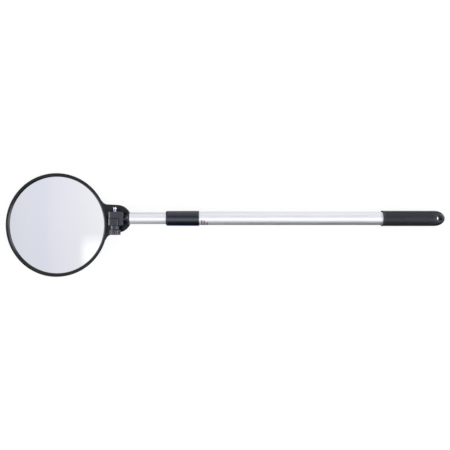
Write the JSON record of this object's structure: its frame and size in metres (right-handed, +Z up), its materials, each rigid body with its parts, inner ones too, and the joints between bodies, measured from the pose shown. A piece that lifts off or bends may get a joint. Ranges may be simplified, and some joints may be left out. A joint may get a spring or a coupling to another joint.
{
  "type": "telescoping inspection mirror",
  "caption": "Round convex mirror on a friction-hinged, swivelling head, on a two-stage twist-lock aluminium pole with a ribbed grip and a hanging hole.",
  "frame": {"origin": "bottom centre of the whole mirror as it lies on a bench, face up, on the far edge of its ring and on its grip", "axes": "+X along the object from the mirror to the grip, +Z up, the way the mirror faces. The pole slopes 2.05 degrees down to the grip, so its own axis is (0.99936, 0, -0.03577)."},
  "size_m": [0.7288, 0.1718, 0.0409],
  "materials": {
    "anodised_tube": "satin brushed, clear anodised",
    "collar_plastic": "fine satin",
    "grip_plastic": "matt, fine ribs",
    "hinge_plastic": "fine satin",
    "knob_plastic": "fine satin",
    "ring_plastic": "fine satin",
    "inner_plastic": "as moulded",
    "slip_plastic": "smooth, low friction",
    "seal_rubber": "matt",
    "foam": "open cell",
    "plain_steel": "turned",
    "zinc_steel": "bright zinc plated",
    "black_steel": "black oxide",
    "brass_insert": "turned",
    "mirror_face": "polished, slightly domed",
    "label_film": "printed clear film, arrows and a dot"
  },
  "bodies": {
    "handle": {"outer_tube": "anodised_tube", "collar": "collar_plastic", "guide_bush": "inner_plastic", "grip": "grip_plastic", "rear_plug": "inner_plastic"},
    "lock_expander": {"expander_sleeve": "inner_plastic", "drag_ring": "seal_rubber"},
    "lock_cone": {"lock_cone": "inner_plastic"},
    "inner_pole": {"inner_tube": "anodised_tube", "lock_plug": "inner_plastic", "plug_pin": "plain_steel", "lock_stud": "plain_steel", "stud_nut": "plain_steel", "pole_knuckle": "hinge_plastic", "captive_nut": "zinc_steel", "socket_screw": "black_steel"},
    "knob_washer": {"knob_washer": "black_steel"},
    "knob": {"hinge_knob": "knob_plastic", "hinge_stud": "zinc_steel"},
    "tilt_bracket": {"hinge_turntable": "hinge_plastic", "friction_washer": "slip_plastic", "slip_ring": "slip_plastic", "swivel_insert": "brass_insert", "swivel_screw": "zinc_steel", "swivel_washer": "zinc_steel", "wave_washer": "zinc_steel"},
    "mirror_head": {"mirror_shell": "ring_plastic", "bezel_ring": "ring_plastic", "mirror_glass": "mirror_face", "foam_ring": "foam"}
  },
  "joints": [
    {"name": "pole_extend", "type": "slide", "parent": "handle", "child": "lock_expander", "axis": [-0.9994, 0, 0.0358], "range_m": [-0.048, 0.31]},
    {"name": "cone_feed", "type": "slide", "parent": "lock_expander", "child": "lock_cone", "axis": [0.9994, 0, -0.0358], "range_m": [0, 0.001]},
    {"name": "lock_twist", "type": "hinge", "parent": "lock_expander", "child": "inner_pole", "pos_m": [-0.17788, 0.0109, 0.0318], "axis": [0.9994, 0, -0.0358], "range_deg": [0, 180]},
    {"name": "knob_feed", "type": "slide", "parent": "inner_pole", "child": "knob_washer", "axis": [0, -1, 0], "range_m": [0, 0.0008]},
    {"name": "knob_turn", "type": "hinge", "parent": "knob_washer", "child": "knob", "pos_m": [-0.17788, 0.0109, 0.0318], "axis": [0, 1, 0], "range_deg": [0, 360]},
    {"name": "mirror_tilt", "type": "hinge", "parent": "inner_pole", "child": "tilt_bracket", "pos_m": [-0.17788, 0.0109, 0.0318], "axis": [0, 1, 0], "range_deg": [0, 90]},
    {"name": "mirror_swivel", "type": "hinge", "parent": "tilt_bracket", "child": "mirror_head", "pos_m": [-0.17788, 0.01035, 0.0318], "axis": [-0.0706, 0, 0.9975], "range_deg": [-95.8, 84.2]}
  ],
  "couplings": [
    {"joint": "cone_feed", "follows": "lock_twist", "m_per_rad": 0.00031831},
    {"joint": "knob_turn", "follows": "knob_feed", "rad_per_m": 7854}
  ]
}
